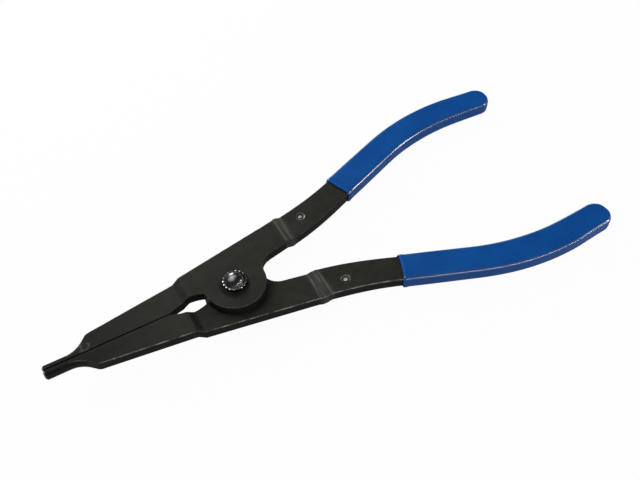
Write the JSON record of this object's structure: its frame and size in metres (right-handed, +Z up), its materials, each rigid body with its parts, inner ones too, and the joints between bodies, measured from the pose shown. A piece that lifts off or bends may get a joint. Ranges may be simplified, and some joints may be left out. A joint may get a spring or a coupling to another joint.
{
  "type": "circlip pliers",
  "caption": "Reverse-action lock-ring pliers: offset black steel levers on a rivet, dipped blue grips and a wire spring that shuts the jaws; a squeeze spreads the tips.",
  "frame": {"origin": "on the pivot axis, at the flat underside of the rivet's tail, which is the plane the tool is laid down on", "axes": "+X along the tool from the tips to the grips, +Y to the lever whose middle lies on top, +Z up along the pivot to the rivet's round head"},
  "size_m": [0.2374, 0.1022, 0.0212],
  "materials": {
    "black_steel": "black oxide, satin",
    "blue_vinyl": "dipped, glossy",
    "bright_steel": "bright zinc",
    "spring_wire": "drawn wire"
  },
  "bodies": {
    "lower_arm": {"lower_lever": "black_steel", "lower_grip": "blue_vinyl", "pivot_rivet": "bright_steel", "head_washer": "bright_steel", "back_washer": "bright_steel", "spring_sleeve": "bright_steel", "return_spring": "spring_wire"},
    "upper_arm": {"upper_lever": "black_steel", "upper_grip": "blue_vinyl"}
  },
  "joints": [
    {"name": "squeeze", "type": "hinge", "parent": "lower_arm", "child": "upper_arm", "pos_m": [0, 0, 0.01248], "axis": [0, 0, -1], "range_deg": [0, 26], "stiffness_Nm_per_rad": 0.8, "springref_deg": -20.05, "deforming": ["return_spring"]}
  ]
}
